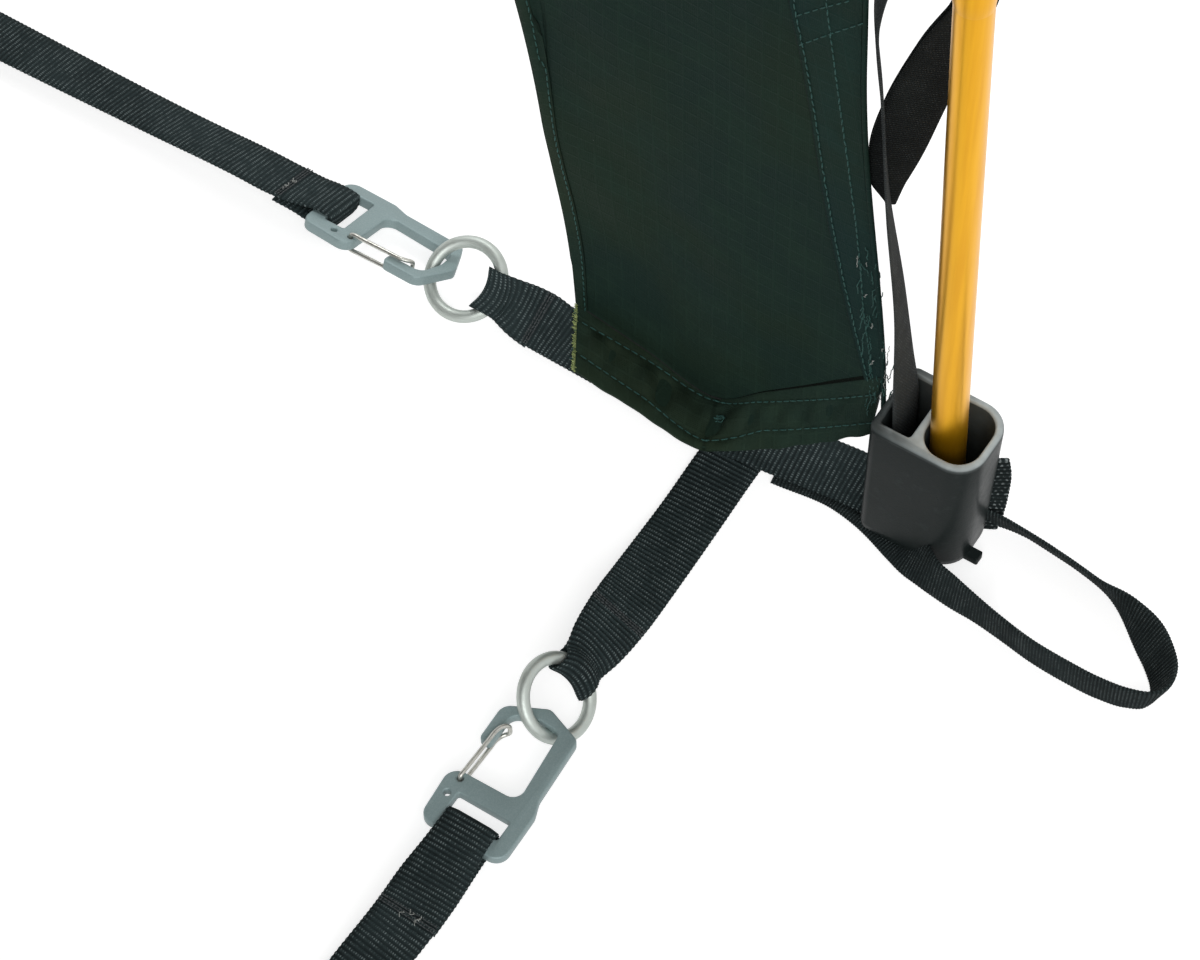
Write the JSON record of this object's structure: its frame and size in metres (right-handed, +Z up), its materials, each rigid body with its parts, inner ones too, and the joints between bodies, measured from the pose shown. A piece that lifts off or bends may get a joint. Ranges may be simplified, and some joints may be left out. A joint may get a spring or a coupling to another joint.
{
  "type": "three-person tent",
  "caption": "Dome tent cover pitched on two crossing poles, with corner webbing, pole cups, peg loops and base straps on gated hooks.",
  "frame": {"origin": "centre of the footprint, on the ground", "axes": "+Z up, +X along the longer side of the footprint, -Y towards the front arch"},
  "size_m": [2.2354, 1.9754, 1.2779],
  "materials": {
    "fly_cloth": "ripstop cloth, dark green",
    "sleeve_cloth": "plain cloth, dark green",
    "ribbed_webbing": "ribbed polyester webbing, black",
    "flat_tape": "flat woven tape, black",
    "gold_pole": "gold anodised tube",
    "anodised_hook": "blue-grey anodised",
    "satin_ring": "satin",
    "gate_wire": "polished spring wire",
    "moulded_cup": "satin black moulding",
    "moulded_buckle": "satin black moulding"
  },
  "bodies": {
    "tent": {"base_strap_back": "ribbed_webbing", "base_strap_front": "ribbed_webbing", "base_strap_left": "ribbed_webbing", "base_strap_right": "ribbed_webbing", "corner_webbing_back_left": "ribbed_webbing", "corner_webbing_back_right": "ribbed_webbing", "corner_webbing_front_left": "ribbed_webbing", "corner_webbing_front_right": "ribbed_webbing", "fly_back": "fly_cloth", "fly_front": "fly_cloth", "fly_side_left": "fly_cloth", "fly_side_right": "fly_cloth", "hook_end_back_left": "anodised_hook", "hook_end_back_right": "anodised_hook", "hook_end_front_left": "anodised_hook", "hook_end_front_right": "anodised_hook", "hook_side_back_left": "anodised_hook", "hook_side_back_right": "anodised_hook", "hook_side_front_left": "anodised_hook", "hook_side_front_right": "anodised_hook", "peg_loop_back_left": "ribbed_webbing", "peg_loop_back_right": "ribbed_webbing", "peg_loop_front_left": "ribbed_webbing", "peg_loop_front_right": "ribbed_webbing", "pole_cup_back_left": "moulded_cup", "pole_cup_back_right": "moulded_cup", "pole_cup_front_left": "moulded_cup", "pole_cup_front_right": "moulded_cup", "pole_lower": "gold_pole", "pole_upper": "gold_pole", "pull_tab_back_left": "flat_tape", "pull_tab_back_right": "flat_tape", "pull_tab_front_left": "flat_tape", "pull_tab_front_right": "flat_tape", "ring_end_back_left": "satin_ring", "ring_end_back_right": "satin_ring", "ring_end_front_left": "satin_ring", "ring_end_front_right": "satin_ring", "ring_side_back_left": "satin_ring", "ring_side_back_right": "satin_ring", "ring_side_front_left": "satin_ring", "ring_side_front_right": "satin_ring", "sleeve_lower": "sleeve_cloth", "sleeve_upper": "sleeve_cloth", "tension_buckle_back_left": "moulded_buckle", "tension_buckle_back_right": "moulded_buckle", "tension_buckle_front_left": "moulded_buckle", "tension_buckle_front_right": "moulded_buckle", "tension_tape_back_left": "flat_tape", "tension_tape_back_right": "flat_tape", "tension_tape_front_left": "flat_tape", "tension_tape_front_right": "flat_tape"},
    "gate_end_back_left_body": {"gate_end_back_left": "gate_wire"},
    "gate_end_back_right_body": {"gate_end_back_right": "gate_wire"},
    "gate_end_front_left_body": {"gate_end_front_left": "gate_wire"},
    "gate_end_front_right_body": {"gate_end_front_right": "gate_wire"},
    "gate_side_back_left_body": {"gate_side_back_left": "gate_wire"},
    "gate_side_back_right_body": {"gate_side_back_right": "gate_wire"},
    "gate_side_front_left_body": {"gate_side_front_left": "gate_wire"},
    "gate_side_front_right_body": {"gate_side_front_right": "gate_wire"}
  },
  "joints": [
    {"name": "gate_side_front_right_swing", "type": "hinge", "parent": "tent", "child": "gate_side_front_right_body", "pos_m": [1.08495, -0.6907, 0.01266], "axis": [0.3746, 0, 0.9272], "range_deg": [0, 22], "stiffness_Nm_per_rad": 0.02, "springref_deg": -17.19},
    {"name": "gate_end_front_right_swing", "type": "hinge", "parent": "tent", "child": "gate_end_front_right_body", "pos_m": [0.9445, -0.8262, 0.0093], "axis": [0, 0, -1], "range_deg": [0, 22], "stiffness_Nm_per_rad": 0.02, "springref_deg": -17.19},
    {"name": "gate_side_front_left_swing", "type": "hinge", "parent": "tent", "child": "gate_side_front_left_body", "pos_m": [-1.08495, -0.6907, 0.01266], "axis": [0.3746, 0, -0.9272], "range_deg": [0, 22], "stiffness_Nm_per_rad": 0.02, "springref_deg": -17.19},
    {"name": "gate_end_front_left_swing", "type": "hinge", "parent": "tent", "child": "gate_end_front_left_body", "pos_m": [-0.9445, -0.8262, 0.0093], "axis": [0, 0, 1], "range_deg": [0, 22], "stiffness_Nm_per_rad": 0.02, "springref_deg": -17.19},
    {"name": "gate_side_back_left_swing", "type": "hinge", "parent": "tent", "child": "gate_side_back_left_body", "pos_m": [-1.08495, 0.6907, 0.01266], "axis": [-0.3746, 0, 0.9272], "range_deg": [0, 22], "stiffness_Nm_per_rad": 0.02, "springref_deg": -17.19},
    {"name": "gate_end_back_left_swing", "type": "hinge", "parent": "tent", "child": "gate_end_back_left_body", "pos_m": [-0.9445, 0.8262, 0.0093], "axis": [0, 0, -1], "range_deg": [0, 22], "stiffness_Nm_per_rad": 0.02, "springref_deg": -17.19},
    {"name": "gate_side_back_right_swing", "type": "hinge", "parent": "tent", "child": "gate_side_back_right_body", "pos_m": [1.08495, 0.6907, 0.01266], "axis": [-0.3746, 0, -0.9272], "range_deg": [0, 22], "stiffness_Nm_per_rad": 0.02, "springref_deg": -17.19},
    {"name": "gate_end_back_right_swing", "type": "hinge", "parent": "tent", "child": "gate_end_back_right_body", "pos_m": [0.9445, 0.8262, 0.0093], "axis": [0, 0, 1], "range_deg": [0, 22], "stiffness_Nm_per_rad": 0.02, "springref_deg": -17.19}
  ]
}
